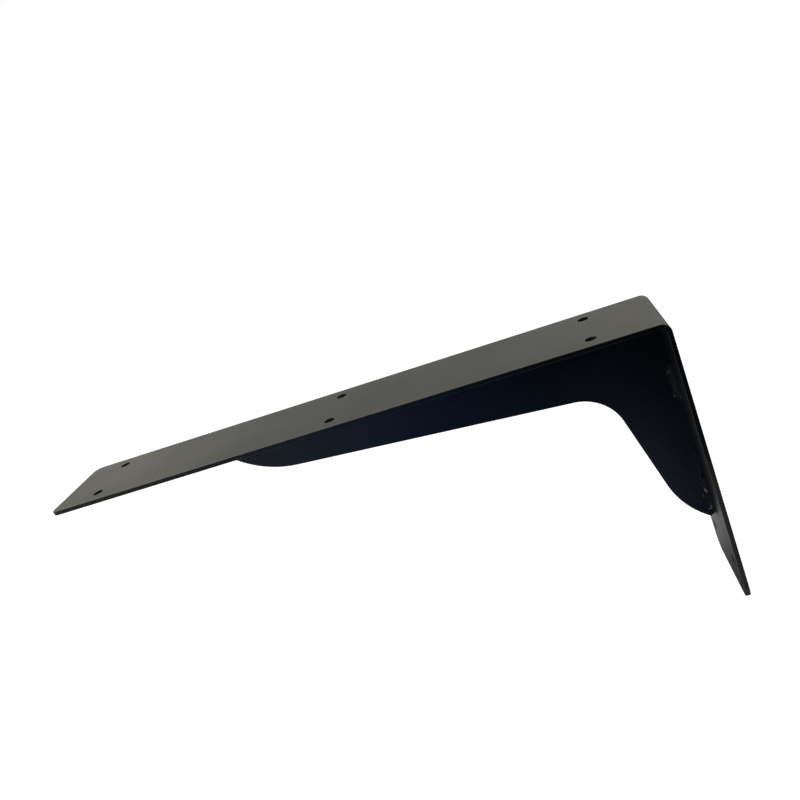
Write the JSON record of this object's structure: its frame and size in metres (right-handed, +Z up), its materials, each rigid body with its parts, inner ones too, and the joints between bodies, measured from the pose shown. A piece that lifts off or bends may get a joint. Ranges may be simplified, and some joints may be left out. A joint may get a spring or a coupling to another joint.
{
  "type": "hidden shelf bracket",
  "caption": "Black steel L-shaped bracket with a curved centre web, bolted to a wall to carry a shelf or countertop from below.",
  "frame": {"origin": "on the wall face, in the middle of the four wall bolt holes and of the strap's width", "axes": "+X out from the wall towards the shelf arm's tip, +Y along the wall across the strap, +Z up"},
  "size_m": [0.4572, 0.0762, 0.2064],
  "materials": {
    "coated_steel": "semi-gloss black powder coat",
    "coated_weld": "semi-gloss black powder coat over a weld bead"
  },
  "bodies": {
    "root": {"bent_strap": "coated_steel", "web_plate": "coated_steel", "weld_beads": "coated_weld"}
  },
  "joints": []
}
